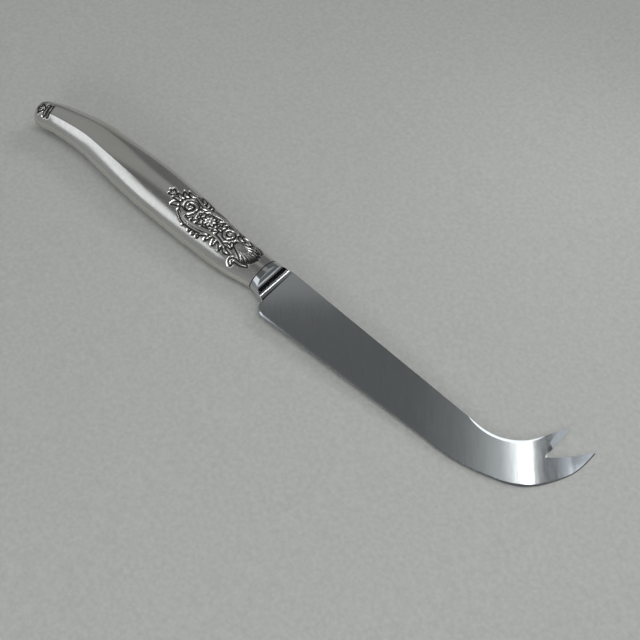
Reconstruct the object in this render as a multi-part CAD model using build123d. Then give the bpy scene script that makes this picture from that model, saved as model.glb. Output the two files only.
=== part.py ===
from build123d import *
import math
import os

# Cheese knife with a hollow metal handle and a forked, upswept blade tip.
#
# The blade, its bolster and its tang are one forging. The handle is two stamped half shells that are
# soldered edge to edge, and the cement that fills them holds the notched tang.
#
# While it is modelled, x = 0 is the shoulder where the blade leaves the bolster, y = 0 is the straight
# spine and z = 0 is the middle of the blade's thickness. +X points from the butt to the tip, +Y from
# the cutting edge to the spine, and +Z out of the front face. At the end every piece is moved together,
# so that the origin is the middle of the knife's length and width, on its lowest level.

# ---- Driving sizes, in millimetres and degrees ----

# Blade, seen from the front
STRAIGHT_LENGTH = 73.5      # shoulder to the start of the upward bend
HEEL_WIDTH = 17.2           # spine to edge at the heel
HEEL_RADIUS = 3.8
NECK_WIDTH = 13.1           # spine to edge where the bend starts
STRAIGHT_EDGE_SHARE = 0.8   # of the way from the heel to the bend, along which the edge is straight
BEND_RADIUS = 17.0          # of the spine
BEND_ANGLE = 62.0           # how far the spine turns up
PRONG_BACK = 10.3           # straight back of the upper prong
NOTCH_ROOT = (19.6, 5.1)    # from the start of the bend
NOTCH_RADIUS = 0.45
LOWER_TIP = (29.4, 16.9)    # from the start of the bend
PRONG_SAG = 0.6             # how far the lower prong's inner edge bows towards the cutting edge
EDGE_SWEEP = [(12.0, -10.1), (21.2, -5.1), (26.7, 2.9)]   # edge points, from the start of the bend
TIP_RADIUS = 0.3            # of both points of the fork

# Blade, through its thickness
SPINE_THICKNESS = 2.0       # at the shoulder
EDGE_THICKNESS = 0.7        # behind the bevel, at the heel
NECK_THICKNESS = 1.5        # of the spine, where the bend starts
TIP_THICKNESS = 0.9         # of the fork, between its points
FORK_GRIND_TOP = (10.5, 3.0)      # ends of the line where the fork's thinner grind starts,
FORK_GRIND_BOTTOM = (19.5, -6.5)  # from the start of the bend
BEVEL_ANGLE = 28.0          # of the cutting edge, each side
EDGE_LAND = 0.2             # thickness left at the very edge
BEND_BEVEL = 0.9            # widest part of the crescent bevel inside the bend
BEND_BEVEL_SPAN = 112.0     # its length, as an angle of the bend's circle
BEND_BEVEL_MIDDLE = 24.0    # its widest place, as an angle from the start of the bend
FACET_WIDTH = 1.6           # hollow-ground facet along the upper prong's inner side
FACET_DEPTH = 0.38
FACET_LENGTH = 12.8

# Bolster and tang
BOLSTER_LENGTH = 6.0
COLLAR_LENGTH = 1.4         # full-height band at the handle's mouth
SHOULDER_THICKNESS = 2.4    # of the bolster where it meets the blade
SHOULDER_LIP = 0.2          # how far the bolster reaches over the start of the heel's round
TONGUE = 1.0                # how far the blade's plate is forged back into the bolster
TONGUE_INSET = 0.5          # from the bolster's sides
SPIGOT_LENGTH = 2.0         # plug that seats in the handle's mouth
SPIGOT_CLEARANCE = 0.15     # filled with cement
TANG_TO_BUTT = 32.75        # from the tang's end to the handle's
TANG_WIDTH = 6.4
TANG_END_WIDTH = 3.6
TANG_THICKNESS = 2.4
TANG_NOTCHES = 4            # on each side, for the cement to key into
TANG_NOTCH_RADIUS = 0.8

# Handle: its width, its thickness and the middle of its width, at the places that set its form
HANDLE_LENGTH = 98.75       # mouth to the middle of the butt's end
THROAT_FROM_MOUTH = 14.0
BELLY_FROM_MOUTH = 46.0
WAIST_FROM_BUTT = 24.75
HOOK_FROM_BUTT = 8.75
MOUTH_WIDTH = 11.8
MOUTH_THICKNESS = 8.4
MOUTH_MIDDLE = -6.55
THROAT_WIDTH = 14.3
THROAT_MIDDLE = -7.75
BELLY_WIDTH = 17.0
BELLY_THICKNESS = 11.0
BELLY_MIDDLE = -7.25
WAIST_WIDTH = 14.1
WAIST_MIDDLE = -7.25
HOOK_WIDTH = 11.0
HOOK_MIDDLE = -9.7
HOOK_TURN = 10.0            # how far the handle points down, towards the edge side
BUTT_WIDTH = 9.2
BUTT_THICKNESS = 8.2
BUTT_MIDDLE = -12.9
BUTT_TURN = 19.5
BUTT_RADIUS = 2.5
PANEL_WIDTH_SHARE = 0.42    # of the handle's width, between the two creases of its front
WALL = 0.7                  # of the stamped half shells
SEAM = 0.15                 # thickness of the solder between them

# How the handle's section is drawn: slopes at the ends of its panel and of its flanks, as a share of
# thickness over width, first as a smooth oval and then with full creases
PANEL_SLOPES = (0.52, 0.16)
FLANK_SLOPES = (0.52, 0.92)
SIDE_FULLNESS = 0.4         # how upright the handle's sides stand
BUTT_CREASE = 0.8           # how sharp the creases are at the butt, from 0 to 1
HANDLE_STATIONS = 20        # sections that the handle is lofted through, short of the butt
NOSE_ANGLES = (0, 35, 65, 90)   # sections round the butt's edge

CONE_REACH = 5.0            # of the tool for the crescent bevel, above and below the face
WHEEL_OVERLAP = 0.2         # of the tool for the facet, past the prong's inner edge
BEYOND = 60.0               # reach of the cutting tools past what they cut

mouth_x = -BOLSTER_LENGTH
shoulder_width = HEEL_WIDTH - HEEL_RADIUS + SHOULDER_LIP


def between(start, end, share):
    return start + (end - start) * share


# ---- Handle: lofted through closed sections, from the mouth to the butt ----

def section(x, middle, turn, width, thickness, crease):
    """Closed outline across the handle: a flank, the panel and a flank, on the front and on the back.

    crease runs from 0, a smooth oval, to 1, a flatter panel between two creases."""
    a, b = width / 2, thickness / 2
    panel = PANEL_WIDTH_SHARE * a
    panel_slope = b / a * between(*PANEL_SLOPES, crease)
    flank_slope = b / a * between(*FLANK_SLOPES, crease)
    crown = panel * 2 / 3 * panel_slope
    crease_height = b - crown * 3 / 4
    reach = a / 3
    edges = []
    for side in (1, -1):
        flank = [(-a, 0), (-a, side * SIDE_FULLNESS * b),
                 (-panel - reach, side * (crease_height - reach * flank_slope)),
                 (-panel, side * crease_height)]
        across = [(-panel, side * crease_height), (-panel / 3, side * (crease_height + crown)),
                  (panel / 3, side * (crease_height + crown)), (panel, side * crease_height)]
        far_flank = [(-u, w) for u, w in reversed(flank)]
        edges += [Bezier(*flank), Bezier(*across), Bezier(*far_flank)]
    angle = math.radians(turn)
    plane = Plane(origin=(x, middle, 0), x_dir=(-math.sin(angle), math.cos(angle), 0),
                  z_dir=(-math.cos(angle), -math.sin(angle), 0))
    return plane * make_face(edges)


def along_handle(values, from_mouth):
    """A smooth value along the handle, through its (distance from the mouth, value) pairs.

    It rises and falls only where the pairs do: its slope is level at a highest or lowest pair."""
    steps = [(b[1] - a[1]) / (b[0] - a[0]) for a, b in zip(values, values[1:])]
    slopes = [2 * p * q / (p + q) if p * q > 0 else 0 for p, q in zip(steps, steps[1:])]
    slopes = [steps[0], *slopes, steps[-1]]
    for (start, low), (end, high), out, into in zip(values, values[1:], slopes, slopes[1:]):
        if from_mouth <= end:
            run = end - start
            t = (from_mouth - start) / run
            return (low * (1 + 2 * t) * (1 - t) ** 2 + high * (3 - 2 * t) * t ** 2
                    + run * (out * t * (1 - t) ** 2 - into * t ** 2 * (1 - t)))


def handle_body(inset):
    """The handle's outside with inset 0, or its cavity with inset WALL."""
    throat, belly = THROAT_FROM_MOUTH, BELLY_FROM_MOUTH
    waist, hook = HANDLE_LENGTH - WAIST_FROM_BUTT, HANDLE_LENGTH - HOOK_FROM_BUTT
    butt = HANDLE_LENGTH
    middles = [(0, MOUTH_MIDDLE), (throat, THROAT_MIDDLE), (belly, BELLY_MIDDLE), (waist, WAIST_MIDDLE),
               (hook, HOOK_MIDDLE), (butt, BUTT_MIDDLE)]
    widths = [(0, MOUTH_WIDTH), (throat, THROAT_WIDTH), (belly, BELLY_WIDTH), (waist, WAIST_WIDTH),
              (hook, HOOK_WIDTH), (butt, BUTT_WIDTH)]
    thicknesses = [(0, MOUTH_THICKNESS), (belly, BELLY_THICKNESS), (butt, BUTT_THICKNESS)]
    turns = [(0, 0), (waist, 0), (hook, HOOK_TURN), (butt, BUTT_TURN)]
    creases = [(0, 0), (belly, 0), (waist, 1), (butt, BUTT_CREASE)]

    turn = math.radians(BUTT_TURN)
    last_full = HANDLE_LENGTH - BUTT_RADIUS * math.cos(turn)
    faces = []
    for station in range(HANDLE_STATIONS):
        at = last_full * station / HANDLE_STATIONS
        faces.append(section(mouth_x - at, along_handle(middles, at), along_handle(turns, at),
                             along_handle(widths, at) - 2 * inset,
                             along_handle(thicknesses, at) - 2 * inset, along_handle(creases, at)))

    # The rounded butt: from the last full section, sections draw in round a quarter circle.
    radius = BUTT_RADIUS - inset
    nose = []
    for angle in NOSE_ANGLES:
        drawn_in = inset + radius * (1 - math.cos(math.radians(angle)))
        from_end = inset + radius * (1 - math.sin(math.radians(angle)))
        nose.append(section(mouth_x - HANDLE_LENGTH + from_end * math.cos(turn),
                            BUTT_MIDDLE + from_end * math.sin(turn), BUTT_TURN,
                            BUTT_WIDTH - 2 * drawn_in, BUTT_THICKNESS - 2 * drawn_in, BUTT_CREASE))
    return loft(faces + nose, ruled=True)


outside = handle_body(0)
cavity = handle_body(WALL)


def half_shell(side):
    """One stamped half: what lies on one side of the seam, less the cavity."""
    half = Box(4 * BEYOND, 2 * BEYOND, BEYOND, align=(Align.CENTER, Align.CENTER, Align.MIN))
    half = Pos(0, 0, SEAM / 2) * half
    if side < 0:
        half = mirror(half, about=Plane.XY)
    return outside & half - cavity


front_shell = half_shell(1)
back_shell = half_shell(-1)
seam = (outside & Box(4 * BEYOND, 2 * BEYOND, SEAM)) - cavity


# ---- Blade, bolster and tang: one forging ----

def from_bend(point):
    return Vector(STRAIGHT_LENGTH + point[0], point[1])


spine = Line((0, 0), (STRAIGHT_LENGTH, 0))
bend = CenterArc((STRAIGHT_LENGTH, BEND_RADIUS), BEND_RADIUS, -90, BEND_ANGLE)
upper_tip = bend @ 1 + (bend % 1) * PRONG_BACK
root = from_bend(NOTCH_ROOT)
lower_tip = from_bend(LOWER_TIP)
heel = CenterArc((HEEL_RADIUS, HEEL_RADIUS - HEEL_WIDTH), HEEL_RADIUS, 180, 90)
neck = Vector(STRAIGHT_LENGTH, -NECK_WIDTH)
cutting_edge = Line(heel @ 1, between(heel @ 1, neck, STRAIGHT_EDGE_SHARE))
tip_edge = Spline(cutting_edge @ 1, neck, *[from_bend(point) for point in EDGE_SWEEP], lower_tip,
                  tangents=[cutting_edge % 1, (0, 1)])


def blade_outline():
    """The blade seen from the front, with a tongue that reaches back into the bolster."""
    sagging = (lower_tip - root).rotate(Axis.Z, -90).normalized() * PRONG_SAG
    prong = ThreePointArc(root, between(root, lower_tip, 0.5) + sagging, lower_tip)
    tongue_top, tongue_bottom = -TONGUE_INSET, TONGUE_INSET - shoulder_width
    tongue = Polyline(heel @ 0, (0, tongue_bottom), (-TONGUE, tongue_bottom), (-TONGUE, tongue_top),
                      (0, tongue_top), (0, 0))
    face = make_face([spine, bend, Line(bend @ 1, upper_tip), Line(upper_tip, root), prong, tip_edge,
                      cutting_edge, heel, tongue])
    for corner, radius in ((root, NOTCH_RADIUS), (upper_tip, TIP_RADIUS), (lower_tip, TIP_RADIUS)):
        face = fillet(face.vertices().sort_by_distance(corner)[0], radius)
    return face


def thickness_at(point, corners):
    """Thickness at a point of the blade, from the thickness at three corners of a flat grind."""
    (a, at_a), (b, at_b), (c, at_c) = corners
    ab, ac, ap = b - a, c - a, point - a
    area = ab.cross(ac).Z
    return at_a + ap.cross(ac).Z / area * (at_b - at_a) + ab.cross(ap).Z / area * (at_c - at_a)


def ground(blade, corners):
    """Grinds both faces flat, through three corners and the thickness at each."""
    a, b, c = (Vector(point.X, point.Y, thickness / 2) for point, thickness in corners)
    normal = (b - a).cross(c - a)
    normal = normal if normal.Z > 0 else -normal
    for side in (1, -1):
        plane = Plane(origin=(a.X, a.Y, side * a.Z), z_dir=(normal.X, normal.Y, side * normal.Z))
        blade = split(blade, bisect_by=plane, keep=Keep.BOTTOM)
    return blade


def off_both_faces(blade, tool):
    """Takes a tool that stands on the front face off the front and, mirrored, off the back."""
    return blade - tool - mirror(tool, about=Plane.XY)


# The long wedge is thick at the shoulder's spine and thin at the edge. The fork is ground thinner.
long_grind = [(spine @ 0, SPINE_THICKNESS), (heel @ 1, EDGE_THICKNESS), (spine @ 1, NECK_THICKNESS)]
fork_grind = [(point, thickness_at(point, long_grind))
              for point in (from_bend(FORK_GRIND_TOP), from_bend(FORK_GRIND_BOTTOM))]
fork_grind.append((between(upper_tip, lower_tip, 0.5), TIP_THICKNESS))
blade = extrude(blade_outline(), amount=SPINE_THICKNESS, both=True)
blade = ground(ground(blade, long_grind), fork_grind)

# The bevel follows the whole cutting edge, from the heel to the lower point, at one angle.
rise = math.tan(math.radians(BEVEL_ANGLE))
bevel_top = EDGE_LAND / 2 + 2 * rise
bevel_profile = Plane(origin=heel @ 0, x_dir=(1, 0, 0), z_dir=heel % 0) * make_face(
    Polyline((-1, EDGE_LAND / 2 - rise), (2, bevel_top), (-1, bevel_top), close=True))
blade = off_both_faces(blade, sweep(bevel_profile, path=Wire([heel, cutting_edge, tip_edge])))

# The crescent bevel inside the bend: a cone whose circle is pushed into the bend.
half_span = math.radians(BEND_BEVEL_SPAN / 2)
push = BEND_BEVEL / (1 - math.cos(half_span))
toward = math.radians(BEND_BEVEL_MIDDLE - 90)
cone_radius = BEND_RADIUS - push * math.cos(half_span)
cone = Pos(STRAIGHT_LENGTH + push * math.cos(toward), BEND_RADIUS + push * math.sin(toward),
           NECK_THICKNESS / 2) * Cone(cone_radius - CONE_REACH, cone_radius + CONE_REACH, 2 * CONE_REACH)
blade = off_both_faces(blade, cone)

# The upper prong's hollow facet: a grinding wheel laid across the inner edge, leaning to the notch.
outward = (upper_tip - root).normalized().rotate(Axis.Z, -90)
facet_middle = between(root, upper_tip, 0.5)
facet_middle.Z = thickness_at(facet_middle, fork_grind) / 2 - FACET_DEPTH
lean = math.atan2(FACET_DEPTH, FACET_WIDTH)
upright = outward * math.sin(lean) + Vector(0, 0, math.cos(lean))
wheel_radius = FACET_LENGTH ** 2 / (8 * FACET_DEPTH)
wheel = Plane(origin=facet_middle + upright * wheel_radius,
              z_dir=Vector(0, 0, math.sin(lean)) - outward * math.cos(lean))
wheel = wheel * Pos(0, 0, -WHEEL_OVERLAP) * Cylinder(wheel_radius, 4 * FACET_WIDTH,
                                                     align=(Align.CENTER, Align.CENTER, Align.MIN))
blade = off_both_faces(blade, wheel)


def bolster():
    """Oval collar that sweeps in, front and back, to the blade's shoulder."""
    oval = loft([section(mouth_x, MOUTH_MIDDLE, 0, MOUTH_WIDTH, MOUTH_THICKNESS, 0),
                 section(0, -shoulder_width / 2, 0, shoulder_width, MOUTH_THICKNESS, 0)])
    collar_end = mouth_x + COLLAR_LENGTH
    high, low = MOUTH_THICKNESS / 2, SHOULDER_THICKNESS / 2
    radius = (collar_end ** 2 + (high - low) ** 2) / (2 * (high - low))
    around = math.degrees(math.asin(-collar_end / radius))
    profile = make_face([
        Polyline((0, low), (0, -low)),
        CenterArc((0, -low - radius), radius, 90, around),
        Polyline((collar_end, -high), (collar_end, -2 * high), (mouth_x, -2 * high), (mouth_x, 2 * high),
                 (collar_end, 2 * high), (collar_end, high)),
        CenterArc((0, low + radius), radius, -90, -around)])
    return oval & extrude(Plane.XZ * profile, amount=BEYOND, both=True)


def tang():
    """Tapered bar with keying notches, on the line from the mouth's middle to the belly's."""
    end = mouth_x - HANDLE_LENGTH + TANG_TO_BUTT
    start_half, end_half = TANG_WIDTH / 2, TANG_END_WIDTH / 2
    start = mouth_x / 2
    bar = make_face(Polyline((start, MOUTH_MIDDLE + start_half), (start, MOUTH_MIDDLE - start_half),
                             (end, BELLY_MIDDLE - end_half), (end, BELLY_MIDDLE + end_half), close=True))
    for notch in range(TANG_NOTCHES):
        share = (notch + 1.5) / (TANG_NOTCHES + 1)
        x = between(mouth_x, end, share)
        middle = between(MOUTH_MIDDLE, BELLY_MIDDLE, share)
        half = between(start_half, end_half, share)
        bar -= Pos(x, middle + half) * Circle(TANG_NOTCH_RADIUS)
        bar -= Pos(x, middle - half) * Circle(TANG_NOTCH_RADIUS)
    return extrude(bar, amount=TANG_THICKNESS / 2, both=True)


spigot_fit = 2 * (WALL + SPIGOT_CLEARANCE)
spigot = extrude(section(mouth_x, MOUTH_MIDDLE, 0, MOUTH_WIDTH - spigot_fit, MOUTH_THICKNESS - spigot_fit, 0),
                 amount=SPIGOT_LENGTH)
blade = blade + bolster() + spigot + tang()


# ---- Cement: fills the cavity round the spigot and the tang ----

cement = cavity - blade


# ---- Place and write the pieces ----

pieces = {
    "blade": blade,
    "front_handle_shell": front_shell,
    "back_handle_shell": back_shell,
    "solder_seam": seam,
    "handle_cement": cement,
}
box = Compound([piece.solid() for piece in pieces.values()]).bounding_box()
to_origin = Pos(-box.center().X, -box.center().Y, -box.min.Z)
os.makedirs("parts", exist_ok=True)
for name, piece in pieces.items():
    export_step(to_origin * piece, f"parts/{name}.step")
print("moved to its origin by", to_origin.position)
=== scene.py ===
import math

import bmesh
import bpy
import numpy as np
from mathutils import Matrix, Vector


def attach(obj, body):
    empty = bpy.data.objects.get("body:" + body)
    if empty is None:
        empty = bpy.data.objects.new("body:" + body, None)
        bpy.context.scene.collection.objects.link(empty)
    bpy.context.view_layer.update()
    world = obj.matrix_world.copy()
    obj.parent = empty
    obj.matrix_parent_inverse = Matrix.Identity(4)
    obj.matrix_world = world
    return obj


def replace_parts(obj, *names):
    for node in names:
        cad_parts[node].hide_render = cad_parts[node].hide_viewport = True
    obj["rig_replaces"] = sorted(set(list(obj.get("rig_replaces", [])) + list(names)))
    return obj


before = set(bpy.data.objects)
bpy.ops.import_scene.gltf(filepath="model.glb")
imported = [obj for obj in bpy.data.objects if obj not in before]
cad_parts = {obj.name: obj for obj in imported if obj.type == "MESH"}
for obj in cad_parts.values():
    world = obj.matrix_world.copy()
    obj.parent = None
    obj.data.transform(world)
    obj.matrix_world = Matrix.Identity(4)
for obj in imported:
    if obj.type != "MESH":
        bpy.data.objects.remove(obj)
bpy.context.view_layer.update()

# ---- Blade, bolster and tang ----
# One stainless steel forging. The faces are ground across on a wide wheel, the edge and the inside of
# the bend get narrow bright bevels, and the bolster is polished before the handle goes on.

GROUND_EDGE = 0.00005       # most rounding on a corner: the shortest edges hold it to a micrometre
CURVE_STEP = 19             # degrees: below this, neighbouring faces belong to one curved surface
MERGED, DISSOLVED = 1e-6, 0.3       # distance and degrees under which loose triangles become whole faces
# A point on the middle plane under the line where the two grinds meet, and the way across that line.
GRINDS_MEET, GRIND_WAY = Vector((0.08534, 0.00302, 0.0055)), Vector((0.726, 0.688, 0)).normalized()


def linear(hex_colour):
    """Scene colour of an sRGB hex colour."""
    channels = [int(hex_colour[i:i + 2], 16) / 255 for i in (0, 2, 4)]
    return [c / 12.92 if c <= 0.04045 else ((c + 0.055) / 1.055) ** 2.4 for c in channels] + [1]


def node(tree, kind, settings=None, **inputs):
    """Adds a shader node with its settings and its input values or links. In an input's name __ is a space,
    and a name such as _2 is the input's number."""
    made = tree.nodes.new(kind)
    for name, value in (settings or {}).items():
        setattr(made, name, value)
    for name, value in inputs.items():
        socket = made.inputs[int(name[1:])] if name[0] == "_" and name[1:].isdigit() else made.inputs[
            name.replace("__", " ")]
        if isinstance(value, bpy.types.NodeSocket):
            tree.links.new(value, socket)
        else:
            socket.default_value = value
    return made


def finish_named(name):
    """A new material, named for its finish, and its empty node tree."""
    material = bpy.data.materials.new(name)
    material.use_nodes = True
    material.node_tree.nodes.clear()
    return material, material.node_tree


def pick(thing):
    """Makes one object active and the only one selected."""
    bpy.ops.object.select_all(action="DESELECT")
    thing.select_set(True)
    bpy.context.view_layer.objects.active = thing


def finish_off(thing):
    """Applies the object's modifiers, in order."""
    pick(thing)
    for modifier in list(thing.modifiers):
        bpy.ops.object.modifier_apply(modifier=modifier.name)


blade = bpy.data.objects.new("ground_blade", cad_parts["blade"].data.copy())
bpy.context.scene.collection.objects.link(blade)
pick(blade)
bpy.ops.mesh.customdata_custom_splitnormals_clear()
bpy.ops.object.mode_set(mode="EDIT")
bpy.ops.mesh.select_all(action="SELECT")
bpy.ops.mesh.remove_doubles(threshold=MERGED)
bpy.ops.mesh.dissolve_limited(angle_limit=math.radians(DISSOLVED))
bpy.ops.object.mode_set(mode="OBJECT")

# The bevel inside the bend is really ground at a low angle and leaves the spine's line whole, so its lower
# edge is brought out to that line and up, and gets a narrow wall where front and back met in a knife edge.
BEND_CENTRE, BEND_RADIUS = (0.07484401, 0.01701714), 0.017     # of the spine's upward bend
BEVEL_FROM, BEVEL_TO = -0.008, 0.0245       # reach of the bevel along the spine, from the start of the bend
FACE_DEPTHS, CORNER_DEPTHS = (-0.0002, 0.0014), (0.000002, 0.0012)      # of the bevel, from the spine
BEVEL_STEEPEST, BEVEL_FLATTEST = 0.45, 0.9      # z of the normals of the solid's bevels, on either side
FACE_LEVEL = 0.98           # and the least z of those of the ground faces beside them
LOW_BEVEL = 0.32            # slope that the bevel gets
WALL_HALF = 0.00004         # set back from the knife edge on either side
EVENED = 14                 # rounds that even the spacing of the lower corners


def from_bend(place):
    """Distance along the spine from the start of the bend, and depth from the spine into the blade."""
    right, down = place.x - BEND_CENTRE[0], BEND_CENTRE[1] - place.y
    if right < 0:
        return right, down - BEND_RADIUS
    return BEND_RADIUS * math.atan2(right, down), math.hypot(right, down) - BEND_RADIUS


soft = bmesh.new()
soft.from_mesh(blade.data)


def in_bevel(place, depths):
    """Whether a place lies along the bevel, and between two depths from the spine."""
    along, depth = from_bend(place)
    return BEVEL_FROM < along < BEVEL_TO and depths[0] < depth < depths[1]


def bend_bevels():
    """The faces of the crescent bevels, front and back, which lean towards the spine."""
    return [face for face in soft.faces if BEVEL_STEEPEST < abs(face.normal.z) < BEVEL_FLATTEST
            and face.normal.y > 0.05 and in_bevel(face.calc_center_median(), FACE_DEPTHS)]


crescents = set(bend_bevels())
knife_edge = [edge for edge in soft.edges if len(edge.link_faces) == 2
              and all(face in crescents for face in edge.link_faces)
              and edge.link_faces[0].normal.z * edge.link_faces[1].normal.z < 0]
bmesh.ops.bevel(soft, geom=knife_edge, offset=WALL_HALF, offset_type="OFFSET", segments=1, profile=0.5,
                affect="EDGES", clamp_overlap=False)
soft.normal_update()
crescents = bend_bevels()
for side in (1, -1):
    corners = {corner for face in crescents if face.normal.z * side > 0 for corner in face.verts}
    corners |= {corner for corner in soft.verts if (corner.co.z - GRINDS_MEET.z) * side > 0
                and in_bevel(corner.co, CORNER_DEPTHS)
                and all(abs(face.normal.z) < BEVEL_FLATTEST for face in corner.link_faces)}
    upper = {corner for corner in corners
             if any(face.normal.z * side > FACE_LEVEL for face in corner.link_faces)}
    inner = sorted((*from_bend(corner.co), corner.co.z) for corner in upper)
    alongs, depths, levels = zip(*inner)
    lower = sorted(corners - upper, key=lambda corner: from_bend(corner.co)[0])
    stations = [alongs[0]] + [from_bend(corner.co)[0] for corner in lower] + [alongs[-1]]
    for evening in range(EVENED):
        stations[1:-1] = [(a + 2 * b + c) / 4 for a, b, c in zip(stations, stations[1:], stations[2:])]
    for corner, along in zip(lower, stations[1:-1]):
        depth, level = float(np.interp(along, alongs, depths)), float(np.interp(along, alongs, levels))
        turned_by = max(0, along) / BEND_RADIUS
        corner.co = (BEND_CENTRE[0] + min(0, along) + BEND_RADIUS * math.sin(turned_by),
                     BEND_CENTRE[1] - BEND_RADIUS * math.cos(turned_by), level - side * LOW_BEVEL * max(0, depth))
soft.normal_update()
soft.to_mesh(blade.data)
soft.free()

# The two grinds run into each other in one slow curve, so the last of the blade is cut into strips.
BLEND_FROM, BLEND_TO = -0.005, 0.016    # reach of the curve, from the line where the grinds would meet
BLEND_STRIPS = 26
GRIND_TURN = 0.043          # slope between the two grinds
HALF_THICK = 0.0006         # a corner this far from the middle plane moves by the whole change
FORK_X = 0.07               # only beyond this

blend_run = BLEND_TO - BLEND_FROM
bpy.ops.object.mode_set(mode="EDIT")
for strip in range(BLEND_STRIPS + 1):
    bpy.ops.mesh.select_all(action="SELECT")
    bpy.ops.mesh.bisect(plane_co=GRINDS_MEET + GRIND_WAY * (BLEND_FROM + blend_run * strip / BLEND_STRIPS),
                        plane_no=GRIND_WAY)
bpy.ops.object.mode_set(mode="OBJECT")
blend_bend = 2 * (BLEND_TO * GRIND_TURN) / blend_run ** 2
for corner in blade.data.vertices:
    beyond = (corner.co - GRINDS_MEET).dot(GRIND_WAY) - BLEND_FROM
    if corner.co.x > FORK_X and 0 < beyond < blend_run:
        ground_away = blend_bend * beyond ** 2 / 2 - GRIND_TURN * max(0, beyond + BLEND_FROM)
        corner.co.z -= (corner.co.z - GRINDS_MEET.z) / HALF_THICK * ground_away

# Every corner gets its tiny rounding, and a ground face shades flat right up to its border.
SHOULDER_X = 0.003
# Least z of the flatter normal at a border and most z of the steeper one: of faces, then of low bevels.
BORDERS = (0.99, 0.985), (0.9, 0.85)
rounding = blade.modifiers.new("rounding", "BEVEL")
rounding.width = GROUND_EDGE
rounding.segments = 2
rounding.limit_method = "ANGLE"
rounding.angle_limit = math.radians(CURVE_STEP + 4)     # edges within a curved surface stay as they are
rounding.use_clamp_overlap = True
rounding.harden_normals = False
finish_off(blade)
bpy.ops.object.shade_smooth_by_angle(angle=math.radians(CURVE_STEP))
crisp = bmesh.new()
crisp.from_mesh(blade.data)
for edge in crisp.edges:
    if edge.verts[0].co.x > SHOULDER_X and len(edge.link_faces) == 2:
        steeper, flatter = sorted(abs(face.normal.z) for face in edge.link_faces)
        if any(flatter > flat and steeper < steep for flat, steep in BORDERS):
            edge.smooth = False
crisp.to_mesh(blade.data)
crisp.free()
flats_rule = blade.modifiers.new("flats_rule", "WEIGHTED_NORMAL")
flats_rule.mode = "FACE_AREA"
flats_rule.keep_sharp = True
finish_off(blade)

# Satin-ground stainless steel. The wheel's marks run askew from spine to edge and blur what the face mirrors,
# and a face is never quite flat, so that reflections waver. Real marks are a few hundredths of a millimetre
# wide: they are drawn 0.14 mm wide and 4.5 mm long, so that they show.
MARKS_ASKEW = 43            # degrees off square to the blade's length
steel, tree = finish_named("satin_ground_steel")
place = node(tree, "ShaderNodeTexCoord").outputs["Object"]
turned = node(tree, "ShaderNodeVectorRotate", {"rotation_type": "Z_AXIS"}, Vector=place,
              Angle=math.radians(-MARKS_ASKEW)).outputs[0]
along = node(tree, "ShaderNodeMapping", Vector=turned, Scale=(7000, 220, 900)).outputs[0]
marks = node(tree, "ShaderNodeTexNoise", Vector=along, Scale=1, Detail=4, Roughness=0.6).outputs["Fac"]
swell = node(tree, "ShaderNodeTexNoise", Vector=place, Scale=42, Detail=1).outputs["Fac"]
roughness = node(tree, "ShaderNodeMapRange", Value=marks, _1=0.3, _2=0.7, _3=0.07, _4=0.12).outputs[0]
waves = node(tree, "ShaderNodeBump", Strength=0.06, Distance=0.0006, Height=swell).outputs[0]
scratched = node(tree, "ShaderNodeBump", Strength=0.05, Distance=0.00002, Height=marks,
                 Normal=waves).outputs[0]
tint = node(tree, "ShaderNodeMix", {"data_type": "RGBA"}, Factor=marks, A=linear("BFC3C4"),
            B=linear("D2D5D6")).outputs[2]
shade = node(tree, "ShaderNodeBsdfPrincipled", Base__Color=tint, Metallic=1, Roughness=roughness,
             Normal=scratched)
node(tree, "ShaderNodeOutputMaterial", Surface=shade.outputs[0])
blade.data.materials.clear()
blade.data.materials.append(steel)
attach(blade, "root")
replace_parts(blade, "blade")

# ---- Front half of the handle ----
# A half shell of silver-plated metal, struck between dies, so that its ornament stands in a sunken
# field. The plate is polished and darkened in the hollows, and a shadow line is painted at its mouth. It is
# soldered to the back half.

MM = 0.001
DRAWN_FROM = Vector((1.344, 0.017, 5.495))      # mm: shoulder, spine and middle plane of the knife's drawing
MOUTH_X = -6.0
# Pairs of the distance from the mouth and a size there: the middle line, the width and the thickness in mm,
# the turn in degrees, and how sharp the creases are.
HANDLE_FORM = {
    "middle": [(0, -6.55), (14, -7.75), (46, -7.25), (74, -7.25), (90, -9.7), (98.75, -12.9)],
    "width": [(0, 11.8), (14, 14.3), (46, 17.0), (74, 14.1), (90, 11.0), (98.75, 9.2)],
    "thickness": [(0, 8.4), (46, 11.0), (98.75, 8.2)],
    "turn": [(0, 0), (74, 0), (90, 10), (98.75, 19.5)],
    "crease": [(0, 0), (46, 0), (74, 1), (98.75, 0.8)],
}
LENGTH = 98.75
BUTT_ROUND = 2.5
PANEL_SHARE = 0.42          # of the width, between the creases
# Slopes beside the creases, as shares of thickness to width: both without a crease, then each at a sharp one.
SMOOTH_SLOPE, PANEL_SLOPE, FLANK_SLOPE = 0.52, 0.16, 0.92
WALL = 0.7
SEAM_HALF = 0.075
ORNAMENT_END, CAP_FROM = 42, 91.5   # mm from the mouth: where the ornament ends, and that of the butt begins
FINE, PLAIN = 0.15, 0.45    # mm between the rings of the mesh, where struck and where plain
BUTT_ANGLES = (0, 10, 20, 30, 40, 50, 60, 70, 80, 86, 90)      # degrees round the butt's edge
BUTT_CLOSED = (0.1, 0.4, 0.7, 1)    # and shares by which its flat end is closed
ROWS_FLANK, ROWS_PANEL = 48, 48


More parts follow.
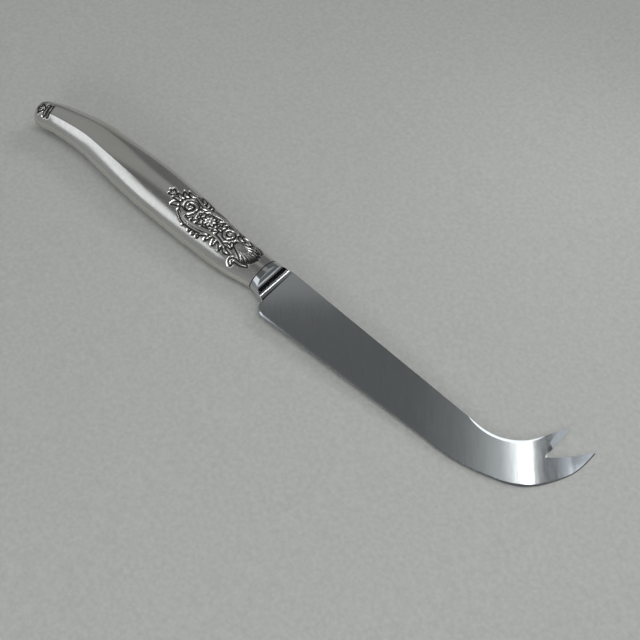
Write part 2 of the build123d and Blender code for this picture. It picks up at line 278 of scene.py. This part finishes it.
def along_handle(key, at):
    """A size of the handle at a distance from its mouth, smooth, and level at its highest and lowest pairs."""
    pairs = HANDLE_FORM[key]
    steps = [(q[1] - p[1]) / (q[0] - p[0]) for p, q in zip(pairs, pairs[1:])]
    slopes = [2 * p * q / (p + q) if p * q > 0 else 0 for p, q in zip(steps, steps[1:])]
    slopes = [steps[0], *slopes, steps[-1]]
    for (start, low), (end, high), out, into in zip(pairs, pairs[1:], slopes, slopes[1:]):
        if at <= end:
            run = end - start
            t = (at - start) / run
            return (low * (1 + 2 * t) * (1 - t) ** 2 + high * (3 - 2 * t) * t ** 2
                    + run * (out * t * (1 - t) ** 2 - into * t ** 2 * (1 - t)))
    return pairs[-1][1]


def ring_points(at, nose):
    """Points across the front half at one ring: flank, panel, flank. nose is the angle round the butt's edge,
    and past a quarter turn the share by which the flat end is closed."""
    open_share = 1
    if nose is None:
        width, thickness = along_handle("width", at), along_handle("thickness", at)
        middle, turn, crease = along_handle("middle", at), along_handle("turn", at), along_handle("crease", at)
        x = MOUTH_X - at
    else:
        open_share = 1 - max(0, nose - math.pi / 2)
        nose = min(nose, math.pi / 2)
        drawn_in = BUTT_ROUND * (1 - math.cos(nose))
        from_end = BUTT_ROUND * (1 - math.sin(nose))
        turn = HANDLE_FORM["turn"][-1][1]
        width = HANDLE_FORM["width"][-1][1] - 2 * drawn_in
        thickness = HANDLE_FORM["thickness"][-1][1] - 2 * drawn_in
        crease = HANDLE_FORM["crease"][-1][1]
        x = MOUTH_X - LENGTH + from_end * math.cos(math.radians(turn))
        middle = HANDLE_FORM["middle"][-1][1] + from_end * math.sin(math.radians(turn))
    a, b = width / 2, thickness / 2
    panel = PANEL_SHARE * a
    panel_slope = b / a * (SMOOTH_SLOPE + (PANEL_SLOPE - SMOOTH_SLOPE) * crease)
    flank_slope = b / a * (SMOOTH_SLOPE + (FLANK_SLOPE - SMOOTH_SLOPE) * crease)
    crown = panel * 2 / 3 * panel_slope
    high = b - crown * 3 / 4
    reach = a / 3
    flank = [(-a, 0), (-a, 0.4 * b), (-panel - reach, high - reach * flank_slope), (-panel, high)]
    across = [(-panel, high), (-panel / 3, high + crown), (panel / 3, high + crown), (panel, high)]
    far = [(-u, w) for u, w in reversed(flank)]
    pieces = [(flank, ROWS_FLANK), (across, ROWS_PANEL), (far, ROWS_FLANK)]
    points = []
    for corners, count in pieces:
        for step in range(count + (corners is far)):
            t = step / count
            weights = ((1 - t) ** 3, 3 * t * (1 - t) ** 2, 3 * t * t * (1 - t), t ** 3)
            u = sum(k * c[0] for k, c in zip(weights, corners))
            w = sum(k * c[1] for k, c in zip(weights, corners))
            points.append((u * open_share, w * open_share))
    sine, cosine = math.sin(math.radians(turn)), math.cos(math.radians(turn))
    return [(x - u * sine, middle + u * cosine, max(w, SEAM_HALF)) for u, w in points]


last_full = LENGTH - BUTT_ROUND * math.cos(math.radians(HANDLE_FORM["turn"][-1][1]))
rings = [(ORNAMENT_END * i / round(ORNAMENT_END / FINE), None) for i in range(round(ORNAMENT_END / FINE))]
for start, end, step in ((ORNAMENT_END, CAP_FROM, PLAIN), (CAP_FROM, last_full, FINE)):
    count = round((end - start) / step)
    rings += [(start + (end - start) * i / count, None) for i in range(count)]
rings += [(0, math.radians(angle)) for angle in BUTT_ANGLES]
rings += [(0, math.pi / 2 + closed) for closed in BUTT_CLOSED]
rows = 2 * ROWS_FLANK + ROWS_PANEL + 1
skin = np.array([ring_points(at, nose) for at, nose in rings])

# The ornament, drawn on the plan in mm: distance from the mouth, then distance from the spine's line.
# Each stroke is a chain of (from mouth, from spine, half width, height).
BOLD = 1.2                  # scrolls are struck this much wider than they are drawn
SHORTENED = 0.945           # and the main ornament this much shorter
strokes = []


def stem(points, ends, height=1.0, widest=0.5):
    """A ridge through points, tapering from its widest place to its ends."""
    chain = []
    for i in range(len(points) - 1):
        p0, p1, p2, p3 = (points[max(0, min(len(points) - 1, i + k))] for k in (-1, 0, 1, 2))
        for step in range(8):
            t = step / 8
            chain.append([0.5 * (2 * b + (c - a) * t + (2 * a - 5 * b + 4 * c - d) * t * t
                                 + (3 * b - a - 3 * c + d) * t ** 3)
                          for a, b, c, d in zip(p0, p1, p2, p3)])
    chain.append(list(points[-1]))
    total = len(chain) - 1
    start, middle, end = ends
    full = []
    for i, (t, y) in enumerate(chain):
        share = i / total
        half = start + (middle - start) * share / widest if share < widest else (
            middle + (end - middle) * (share - widest) / (1 - widest))
        full.append((t, y, BOLD * half, height))
    strokes.append(full)


def curl(centre, radius, start, turns, ends):
    """A spiral ridge that winds in from radius, starting at an angle in degrees; turns may be negative."""
    count = max(8, round(abs(turns) * 26))
    chain = []
    for i in range(count + 1):
        share = i / count
        angle = math.radians(start + 360 * turns * share)
        r = radius * (1 - 0.82 * share ** 0.9)
        half = BOLD * (ends[0] + (ends[1] - ends[0]) * share)
        chain.append((centre[0] + r * math.cos(angle), centre[1] + r * math.sin(angle), half, 1.0))
    strokes.append(chain)


def leaf(base, tip, bow, half, height=1.0):
    """A pointed leaf from base to tip, bowed to one side."""
    dx, dy = tip[0] - base[0], tip[1] - base[1]
    chain = []
    for i in range(11):
        share = i / 10
        side = bow * 4 * share * (1 - share)
        swell = max(0.06, math.sin(math.pi * share ** 0.75))
        chain.append((base[0] + dx * share - dy * side, base[1] + dy * share + dx * side, half * swell,
                      height * (0.55 + 0.45 * swell)))
    strokes.append(chain)


def bead(at, half, height=1.0):
    """A round bead, as a stroke with next to no length."""
    strokes.append([(at[0], at[1], half, height), (at[0] + 0.01, at[1], half, height)])


# A rosette in the middle, and a scroll with its curl on each side of it.
rosette = (25.2, -6.0)
for petal in range(8):
    angle = math.radians(45 * petal + 22)
    leaf((rosette[0] + 0.7 * math.cos(angle), rosette[1] + 0.7 * math.sin(angle)),
         (rosette[0] + 2.5 * math.cos(angle), rosette[1] + 2.3 * math.sin(angle)), 0.0, 0.58)
bead(rosette, 0.66, 1.1)
for centre, radius, start in (((33.6, -6.5), 3.0, -60), ((16.7, -5.1), 2.6, 120)):
    curl(centre, radius, start, -1.4, (0.48, 0.36))
    bead(centre, 0.55, 1.1)
stem([(35.6, -8.9), (32.0, -10.7), (26.8, -10.3), (22.6, -9.1), (18.6, -8.9), (14.9, -9.7)], (0.3, 0.6, 0.25))
stem([(35.4, -10.0), (31.4, -11.5), (26.2, -11.2), (21.9, -10.2)], (0.2, 0.34, 0.16), 0.8)
stem([(15.2, -2.5), (18.6, -1.6), (23.4, -2.0), (27.6, -3.1), (31.4, -3.0), (35.2, -2.2)], (0.3, 0.6, 0.25))
stem([(14.6, -1.7), (18.4, -0.9), (23.4, -1.2), (27.4, -2.1)], (0.2, 0.34, 0.16), 0.8)
# Leaves that spring from the scrolls, in groups of three and four, and beads in the gaps.
for base, tip, bow, half in (
        ((31.4, -2.8), (34.2, -0.8), 0.16, 0.5), ((30.0, -2.6), (31.9, -0.5), 0.14, 0.5),
        ((28.6, -2.5), (29.6, -0.7), 0.1, 0.45), ((35.2, -2.2), (38.4, -2.5), -0.2, 0.55),
        ((36.6, -4.1), (39.5, -3.6), -0.2, 0.6), ((37.2, -5.6), (40.4, -5.6), -0.12, 0.6),
        ((37.3, -7.2), (40.2, -7.9), 0.15, 0.6), ((36.6, -8.7), (39.0, -10.0), 0.2, 0.55),
        ((29.4, -11.0), (31.0, -12.3), 0.15, 0.42), ((21.9, -10.0), (24.4, -11.9), 0.15, 0.5),
        ((20.4, -9.4), (21.4, -11.6), 0.1, 0.5), ((18.8, -9.3), (18.4, -11.4), -0.1, 0.5),
        ((17.0, -9.6), (15.4, -11.3), -0.12, 0.45), ((14.9, -9.7), (11.8, -10.2), 0.15, 0.5),
        ((15.6, -9.0), (12.6, -8.6), -0.15, 0.5), ((21.6, -2.4), (23.0, -4.2), 0.15, 0.5),
        ((20.0, -2.2), (20.9, -4.4), 0.1, 0.5), ((29.2, -10.0), (27.9, -8.3), 0.12, 0.5),
        ((30.8, -10.3), (30.2, -8.9), 0.12, 0.45), ((27.4, -10.0), (25.7, -8.9), 0.12, 0.45),
        ((28.8, -3.5), (30.6, -4.7), 0.15, 0.45), ((27.2, -3.3), (28.6, -5.0), 0.12, 0.45),
        ((13.6, -2.6), (10.8, -1.6), -0.2, 0.5), ((14.4, -3.2), (11.6, -3.3), 0.12, 0.5),
        ((21.8, -8.6), (20.2, -7.2), 0.15, 0.5), ((23.0, -8.9), (22.2, -7.8), 0.1, 0.4),
        ((13.9, -6.6), (12.6, -8.0), 0.1, 0.4), ((19.5, -6.2), (21.4, -6.4), 0.1, 0.45)):
    leaf(base, tip, bow, half)
for at, half in (((28.6, -7.4), 0.36), ((29.1, -6.3), 0.3), ((21.9, -5.2), 0.34), ((24.4, -12.3), 0.26),
                 ((26.2, -12.4), 0.24), ((28.0, -12.4), 0.22), ((19.2, -3.4), 0.28), ((33.0, -10.0), 0.26),
                 ((12.4, -6.2), 0.3)):
    bead(at, half)
# A fan of tongues opens towards the blade, each with a slimmer one beside it, and beads before it.
for tongue, (reach, spread) in enumerate(((6.6, -3.9), (7.9, -2.7), (8.9, -1.4), (9.3, 0.0), (8.9, 1.4),
                                          (7.9, 2.7), (6.6, 3.9))):
    leaf((13.2, -6.1 + spread * 0.18), (13.2 - reach, -6.3 + spread), 0.03 * (tongue - 3), 0.5)
    leaf((11.4 - reach * 0.3, -6.2 + spread * 0.62 + 0.62),
         (12.0 - reach * 0.9, -6.3 + spread * 0.96 + 0.68), 0.0, 0.22, 0.8)
for side in (-1, 1):
    curl((9.4, -6.2 + side * 4.9), 0.95, 90 * side, -0.8 * side, (0.3, 0.26))
    stem([(9.0, -6.2 + side * 4.3), (6.6, -6.25 + side * 4.0), (4.6, -6.3 + side * 3.2)], (0.3, 0.3, 0.12), 0.8)
# A bud before the far curl.
for base, tip, bow in (((41.3, -6.6), (43.1, -6.4), 0.0), ((41.2, -6.3), (42.5, -5.4), -0.1),
                       ((41.2, -6.9), (42.5, -7.8), 0.1)):
    leaf(base, tip, bow, 0.3, 0.9)
bead((40.9, -6.6), 0.28)
strokes = [[(at * SHORTENED, y, half, height) for at, y, half, height in chain] for chain in strokes]

# The butt carries two lines across its panel and a small three-leaved palm.
for at, lower in ((93.2, 0), (94.3, 0.363)):
    stem([(at - 0.5, -13.7 - lower), (at + 0.1, -11.9 - lower), (at + 0.7, -9.9 - lower)],
         (0.16, 0.2, 0.16), 0.7)
for base, tip, bow in (((95.5, -12.5), (97.6, -13.1), 0.0), ((95.4, -12.1), (96.9, -11.4), -0.12),
                       ((95.5, -13.0), (96.3, -14.5), 0.12)):
    leaf(base, tip, bow, 0.36, 0.9)
bead((95.2, -12.4), 0.3)

# The strokes are pressed into the skin: ridges that stand in a sunken field, which fades out round them.
FIELD_DEPTH, RIDGE = 0.34, 0.42     # mm
FIELD_REACH, FIELD_LIP = 0.75, 0.05     # mm round a stroke: over which the field fades, and before it starts to
FULL_HEIGHT_HALF = 0.45     # a stroke with a smaller half width stands lower
SEARCHED = 2.5              # mm round a stroke, more than the field's reach
UNTOUCHED = 99.0
MOUTH_SHADOW, MOUTH_FADE = 0.48, 0.25     # mm: reach of the painted shadow line at the mouth, and its fading end

plan = skin.reshape(-1, 3)
from_mouth, from_spine = MOUTH_X - plan[:, 0], plan[:, 1]
height = np.zeros(len(plan))
nearest = np.full(len(plan), UNTOUCHED)
for chain in strokes:
    chain = np.array(chain)
    lo, hi = chain[:, :2].min(0) - SEARCHED, chain[:, :2].max(0) + SEARCHED
    near = np.where((from_mouth > lo[0]) & (from_mouth < hi[0])
                    & (from_spine > lo[1]) & (from_spine < hi[1]))[0]
    here = np.stack([from_mouth[near], from_spine[near]], 1)
    for p, q in zip(chain, chain[1:]):
        run = q[:2] - p[:2]
        share = np.clip(((here - p[:2]) @ run) / max(run @ run, 1e-9), 0, 1)
        away = np.linalg.norm(here - p[:2] - share[:, None] * run, axis=1)
        half = p[2] + (q[2] - p[2]) * share
        crest = (p[3] + (q[3] - p[3]) * share) * np.minimum(1, half / FULL_HEIGHT_HALF) ** 0.5
        rise = crest * np.clip(1 - (away / half) ** 2, 0, 1) ** 0.8
        height[near] = np.maximum(height[near], rise)
        nearest[near] = np.minimum(nearest[near], away - half)
sunk = np.clip(1 - (nearest - FIELD_LIP) / FIELD_REACH, 0, 1)
sunk = sunk * sunk * (3 - 2 * sunk)
relief = (RIDGE * height - FIELD_DEPTH * sunk).reshape(skin.shape[:2])
hollow_and_mouth_shade = (sunk * np.clip(1 - 1.5 * height, 0, 1)).reshape(skin.shape[:2])
ring_from_mouth = np.array([LENGTH if nose is not None else at for at, nose in rings])
# Painted shadow: the mouth's edge is darkened in a thin line where the handle meets the bolster, together with
# the patina of the hollows.
hollow_and_mouth_shade = np.maximum(hollow_and_mouth_shade, np.clip((MOUTH_SHADOW - ring_from_mouth) / MOUTH_FADE, 0, 1)[:, None])
outward = np.cross(np.gradient(skin, axis=1), np.gradient(skin, axis=0))
outward /= np.maximum(np.linalg.norm(outward, axis=2, keepdims=True), 1e-9)
if outward[0, rows // 2, 2] < 0:
    outward = -outward
skin = skin + relief[:, :, None] * outward

# A plain grid takes the skin's places, is merged in the middle of the butt, and gets the wall of the metal.
SKIN_MERGED = 2e-6
INSIDE_KEPT = 0.08          # share of the faces that the inside keeps
SHARPEST = 40               # degrees: steeper edges, such as the mouth's, aren't shaded smooth

bpy.ops.object.select_all(action="DESELECT")
bpy.ops.mesh.primitive_grid_add(x_subdivisions=len(rings) - 1, y_subdivisions=rows - 1, size=2)
front = bpy.context.active_object
front.name = "struck_front_shell"
grid = np.empty(len(front.data.vertices) * 3, np.float32)
front.data.vertices.foreach_get("co", grid)
grid = grid.reshape(-1, 3)
ring_of = np.rint((grid[:, 0] + 1) / 2 * (len(rings) - 1)).astype(int)
row_of = np.rint((grid[:, 1] + 1) / 2 * (rows - 1)).astype(int)
struck = (skin[ring_of, row_of] + np.array(DRAWN_FROM)) * MM
front.data.vertices.foreach_set("co", struck.astype(np.float32).ravel())
# The patina of the hollows and the painted shadow line at the mouth go with the skin as one attribute.
patina_and_mouth_shade = front.data.attributes.new("patina_and_mouth_shade", "FLOAT", "POINT")
patina_and_mouth_shade.data.foreach_set("value", hollow_and_mouth_shade[ring_of, row_of].astype(np.float32))
front.data.update()
pick(front)
bpy.ops.object.mode_set(mode="EDIT")
bpy.ops.mesh.select_all(action="SELECT")
bpy.ops.mesh.remove_doubles(threshold=SKIN_MERGED)
bpy.ops.mesh.normals_make_consistent(inside=False)
bpy.ops.object.mode_set(mode="OBJECT")
top_face = max(front.data.polygons, key=lambda face: face.center.z)
if top_face.normal.z < 0:
    front.data.flip_normals()
wall = front.modifiers.new("wall", "SOLIDIFY")
wall.thickness = WALL * MM
wall.offset = -1
wall.use_rim = True
outer_faces = len(front.data.polygons)
finish_off(front)
# The inside is never seen, so it gets by with fewer faces.
bpy.ops.object.mode_set(mode="EDIT")
bpy.ops.mesh.select_mode(type="FACE")
bpy.ops.mesh.select_all(action="DESELECT")
bpy.ops.object.mode_set(mode="OBJECT")
for face in front.data.polygons:
    face.select = outer_faces <= face.index < 2 * outer_faces
bpy.ops.object.mode_set(mode="EDIT")
bpy.ops.mesh.decimate(ratio=INSIDE_KEPT)
bpy.ops.object.mode_set(mode="OBJECT")
bpy.ops.object.shade_smooth_by_angle(angle=math.radians(SHARPEST))

# Silver plate, buffed, and darkened in the hollows, where no hand rubs it: a warm, slightly cloudy mirror with
# nearly black ground round the ornament, and a painted shadow line at the mouth, where it meets the bolster.
# Real rubbing marks are hundredths of a millimetre wide: the haze that they make is drawn in spots of about
# 1 mm, so that it shows, and the clouds are 17 mm wide.
silver, tree = finish_named("silver_plate_darkened_in_the_hollows")
place = node(tree, "ShaderNodeTexCoord").outputs["Object"]
hollows_and_mouth_shade = node(tree, "ShaderNodeAttribute", {"attribute_name": "patina_and_mouth_shade"}).outputs["Fac"]
rub = node(tree, "ShaderNodeTexNoise", Vector=place, Scale=900, Detail=4, Roughness=0.6).outputs["Fac"]
cloud = node(tree, "ShaderNodeTexNoise", Vector=place, Scale=60, Detail=3).outputs["Fac"]
dark = node(tree, "ShaderNodeMapRange", Value=hollows_and_mouth_shade, _1=0.1, _2=0.75).outputs[0]
bright = node(tree, "ShaderNodeMix", {"data_type": "RGBA"}, Factor=cloud, A=linear("CFCDC6"),
              B=linear("DEDDD9")).outputs[2]
colour = node(tree, "ShaderNodeMix", {"data_type": "RGBA"}, Factor=dark, A=bright,
              B=linear("3A3B3A")).outputs[2]
polish = node(tree, "ShaderNodeMapRange", Value=rub, _1=0.25, _2=0.75, _3=0.15, _4=0.24).outputs[0]
dulled = node(tree, "ShaderNodeMath", {"operation": "MULTIPLY_ADD"}, _0=dark, _1=0.3, _2=polish).outputs[0]
hairline = node(tree, "ShaderNodeBump", Strength=0.04, Distance=0.00002, Height=rub).outputs[0]
shade = node(tree, "ShaderNodeBsdfPrincipled", Base__Color=colour, Metallic=1, Roughness=dulled,
             Normal=hairline)
node(tree, "ShaderNodeOutputMaterial", Surface=shade.outputs[0])
front.data.materials.clear()
front.data.materials.append(silver)
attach(front, "root")
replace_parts(front, "front_handle_shell")

# ---- Back half of the handle ----
# The same half shell struck the other way round, from the mirrored die, in the same plated metal.

back = front.copy()
back.data = front.data.copy()
back.name = "struck_back_shell"
bpy.context.scene.collection.objects.link(back)
back.data.transform(Matrix.Translation((0, 0, DRAWN_FROM.z * MM)) @ Matrix.Scale(-1, 4, (0, 0, 1))
                    @ Matrix.Translation((0, 0, -DRAWN_FROM.z * MM)))
back.data.flip_normals()
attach(back, "root")
back["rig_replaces"] = []    # the copy brings the front's along
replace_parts(back, "back_handle_shell")

# ---- Solder seam ----
# A thread of silver solder between the two halves, filed and polished flush with them: a little greyer and
# duller than the plate. Its file marks are drawn 0.7 mm wide, coarser than real ones, so that they show.

solder, tree = finish_named("polished_silver_solder")
place = node(tree, "ShaderNodeTexCoord").outputs["Object"]
file_marks = node(tree, "ShaderNodeTexNoise", Vector=place, Scale=1500, Detail=3).outputs["Fac"]
tone = node(tree, "ShaderNodeMix", {"data_type": "RGBA"}, Factor=file_marks, A=linear("B4B4B0"),
            B=linear("CDCDC9")).outputs[2]
polish = node(tree, "ShaderNodeMapRange", Value=file_marks, _3=0.2, _4=0.34).outputs[0]
shade = node(tree, "ShaderNodeBsdfPrincipled", Base__Color=tone, Metallic=1, Roughness=polish)
node(tree, "ShaderNodeOutputMaterial", Surface=shade.outputs[0])
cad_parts["solder_seam"].data.materials.clear()
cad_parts["solder_seam"].data.materials.append(solder)

# ---- Cement ----
# A brown resin cement, poured in hot, that fills the handle and grips the notched tang. It is hidden, and it
# would look matte and pitted by bubbles of a little under a millimetre.

cement, tree = finish_named("cast_brown_cement")
place = node(tree, "ShaderNodeTexCoord").outputs["Object"]
grain = node(tree, "ShaderNodeTexNoise", Vector=place, Scale=1200, Detail=5, Roughness=0.7).outputs["Fac"]
tone = node(tree, "ShaderNodeMix", {"data_type": "RGBA"}, Factor=grain, A=linear("5C4A3A"),
            B=linear("7E6B58")).outputs[2]
pitted = node(tree, "ShaderNodeBump", Strength=0.4, Distance=0.0001, Height=grain).outputs[0]
shade = node(tree, "ShaderNodeBsdfPrincipled", Base__Color=tone, Roughness=0.9, Normal=pitted)
node(tree, "ShaderNodeOutputMaterial", Surface=shade.outputs[0])
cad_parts["handle_cement"].data.materials.clear()
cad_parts["handle_cement"].data.materials.append(cement)

# ---- Table top ----
# A pale stone-coloured top, honed and matte, with grains of 1.4 mm, and broad clouds of 70 mm that are hardly
# darker. The knife lies tilted on the handle's belly and the fork's points, so the top is laid against those.

fork_tip = min((v.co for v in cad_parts["blade"].data.vertices if v.co.x > 0.1), key=lambda p: p.z)
tilt = max((fork_tip.z - v.co.z) / (fork_tip.x - v.co.x)
           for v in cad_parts["back_handle_shell"].data.vertices)
up = Vector((-tilt, 0, 1)).normalized()
bpy.ops.object.select_all(action="DESELECT")
bpy.ops.mesh.primitive_plane_add(size=6)
table = bpy.context.active_object
table.name = "table_top"
leaned = Vector((0, 0, 1)).rotation_difference(up).to_matrix().to_4x4()
table.data.transform(Matrix.Translation(fork_tip) @ leaned)
stone, tree = finish_named("pale_matte_table_top")
place = node(tree, "ShaderNodeTexCoord").outputs["Object"]
grain = node(tree, "ShaderNodeTexNoise", Vector=place, Scale=700, Detail=4, Roughness=0.6).outputs["Fac"]
cloud = node(tree, "ShaderNodeTexNoise", Vector=place, Scale=14, Detail=3).outputs["Fac"]
speckle = node(tree, "ShaderNodeMix", {"data_type": "RGBA"}, Factor=grain, A=linear("9FA09C"),
               B=linear("C0C1BE")).outputs[2]
tone = node(tree, "ShaderNodeMix", {"data_type": "RGBA", "blend_type": "MULTIPLY"}, Factor=0.12, A=speckle,
            B=node(tree, "ShaderNodeMix", {"data_type": "RGBA"}, Factor=cloud, A=linear("D0D0D0"),
                   B=linear("FFFFFF")).outputs[2]).outputs[2]
shade = node(tree, "ShaderNodeBsdfPrincipled", Base__Color=tone, Roughness=0.75)
node(tree, "ShaderNodeOutputMaterial", Surface=shade.outputs[0])
table.data.materials.append(stone)

# ---- Camera ----
# It looks down at 60 degrees, across the knife, as the photograph was taken.

VIEW_FROM, VIEW_ALONG = Vector((0.115947, -0.121196, 0.281301)), Vector((-0.309877, 0.366320, -0.877374))
PLUMB = Vector((-0.0348995, 0, 0.999391))       # straight up, beside a knife that lies tilted by 2 degrees
VIEW_ANGLE = 34

forward = VIEW_ALONG.normalized()
camera = bpy.data.objects.new("camera", bpy.data.cameras.new("camera"))
bpy.context.scene.collection.objects.link(camera)
camera.data.angle = math.radians(VIEW_ANGLE)
camera.data.clip_start = 0.01
rightward = forward.cross(PLUMB).normalized()
camera.matrix_world = Matrix.Translation(VIEW_FROM) @ Matrix(
    (rightward, rightward.cross(forward), -forward)).transposed().to_4x4()
bpy.context.scene.camera = camera

# ---- Light ----
# The key, the overhead and two fills light the table. A narrow strip is the white band across the fork, with
# dim ones beside it that fade it out, and the left box draws the white line along the handle. Boxes and cards
# near the tip light the prongs and the bend, and the bolster mirrors a dark doorway at the right.

LOOKED_AT = Vector((0.0185, -0.0060, 0.0055))
FORK, BELLY = Vector((0.0913, 0.0011, 0.0061)), Vector((-0.0550, -0.0100, 0.0100))
UPPER_PRONG, BEND = Vector((0.0933, 0.0140, 0.0060)), Vector((0.083, 0.0019, 0.006))
STRIP_LIES, PRONG_LIES = (0, 0.92, -0.39), (0.92, 0, -0.39)     # ways of the lamps' long sides
CARD_LIES, LEFT_LIES = (0.86, 0, -0.5), (0.1, 0.99, 0)
across_view, into_view = rightward, up.cross(rightward)


def seen(direction):
    """A way through the scene, given as right, away from the camera and up."""
    return across_view * direction[0] + into_view * direction[1] + up * direction[2]


def soft_box(name, direction, distance, size, brightness, colour="FFFFFF", long_axis=(1, 0, 0),
             aim=LOOKED_AT):
    """A rectangular lamp, in a direction and at a distance from its aim. Brightness is its radiance."""
    way = seen(direction).normalized()
    lamp = bpy.data.lights.new(name, "AREA")
    lamp.shape = "RECTANGLE"
    lamp.size, lamp.size_y = size
    lamp.energy = brightness * math.pi * size[0] * size[1]
    lamp.color = linear(colour)[:3]
    box = bpy.data.objects.new(name, lamp)
    bpy.context.scene.collection.objects.link(box)
    side = seen(long_axis)
    side = (side - way * side.dot(way)).normalized()
    box.visible_camera = False
    box.matrix_world = Matrix.Translation(aim + way * distance) @ Matrix(
        (side, way.cross(side), way)).transposed().to_4x4()


soft_box("strip", (0.2445, 0.277, 0.930), 3.0, (1.50, 0.068), 7, long_axis=STRIP_LIES, aim=FORK)
soft_box("strip_side", (0.208, 0.285, 0.936), 1.0, (0.50, 0.040), 0.40, long_axis=STRIP_LIES, aim=FORK)
for number, (sideways, width, glow) in enumerate(((0.1925, 0.085, 0.27), (0.180, 0.110, 0.10),
                                                  (0.1575, 0.155, 0.05))):
    soft_box("strip_glow_%d" % number, (sideways, 0.285, 0.936), 1.0, (0.50, width), glow, "F2F8F8",
             STRIP_LIES, FORK)
soft_box("left_box", (-0.74, -0.08, 0.67), 1.0, (0.40, 0.50), 0.88, "F4F9FF", LEFT_LIES, BELLY)
soft_box("prong_box", (0.383, 0.262, 0.887), 1.0, (0.11, 0.20), 0.45, "EEF4FF", PRONG_LIES, FORK)
soft_box("prong_box_core", (0.393, 0.262, 0.882), 1.0, (0.11, 0.20), 0.32, "EEF4FF", PRONG_LIES, FORK)
soft_box("facet_card", (0.50, 0.01, 0.86), 0.08, (0.024, 0.024), 0.66, "F4F9FF", CARD_LIES, UPPER_PRONG)
soft_box("bend_card", (0.34, 0.77, 0.53), 0.15, (0.085, 0.036), 1.6, "F8FCFF", aim=BEND)
soft_box("back_box", (-0.15, 0.60, 0.78), 1.4, (0.9, 0.70), 0.18, aim=BELLY)
soft_box("key", (0.70, 0.31, 0.64), 2.0, (0.60, 0.60), 5.6)
soft_box("overhead", (0.12, -0.32, 0.94), 1.0, (0.75, 0.32), 6.3)
soft_box("front_fill", (-0.34, -0.84, 0.43), 0.9, (0.34, 0.30), 5.8)
room = bpy.data.worlds.new("room")
bpy.context.scene.world = room
room.use_nodes = True
tree = room.node_tree
way = node(tree, "ShaderNodeTexCoord").outputs["Generated"]


def toward(direction, start, end, at_start, at_end):
    """A brightness of the room that changes with how closely a ray points in a direction."""
    closeness = node(tree, "ShaderNodeVectorMath", {"operation": "DOT_PRODUCT"}, _0=way,
                     _1=seen(direction).normalized()).outputs["Value"]
    return node(tree, "ShaderNodeMapRange", Value=closeness, _1=start, _2=end, _3=at_start, _4=at_end).outputs[0]


lift = toward((0, 0, 1), 0.2, 0.95, 0.17, 0.145)
left_glow = toward((-1, -0.2, 0.1), 0.55, 0.95, 0, 0.17)
doorway = toward((0.57, -0.10, 0.815), 0.960, 0.970, 1, 0)
lit = node(tree, "ShaderNodeMath", {"operation": "ADD"}, _0=lift, _1=left_glow).outputs[0]
room_light = node(tree, "ShaderNodeMath", {"operation": "MULTIPLY"}, _0=lit, _1=doorway).outputs[0]
tree.nodes["Background"].inputs["Color"].default_value = linear("F4F7FA")
tree.links.new(room_light, tree.nodes["Background"].inputs["Strength"])
bpy.context.scene.view_settings.view_transform = "Standard"
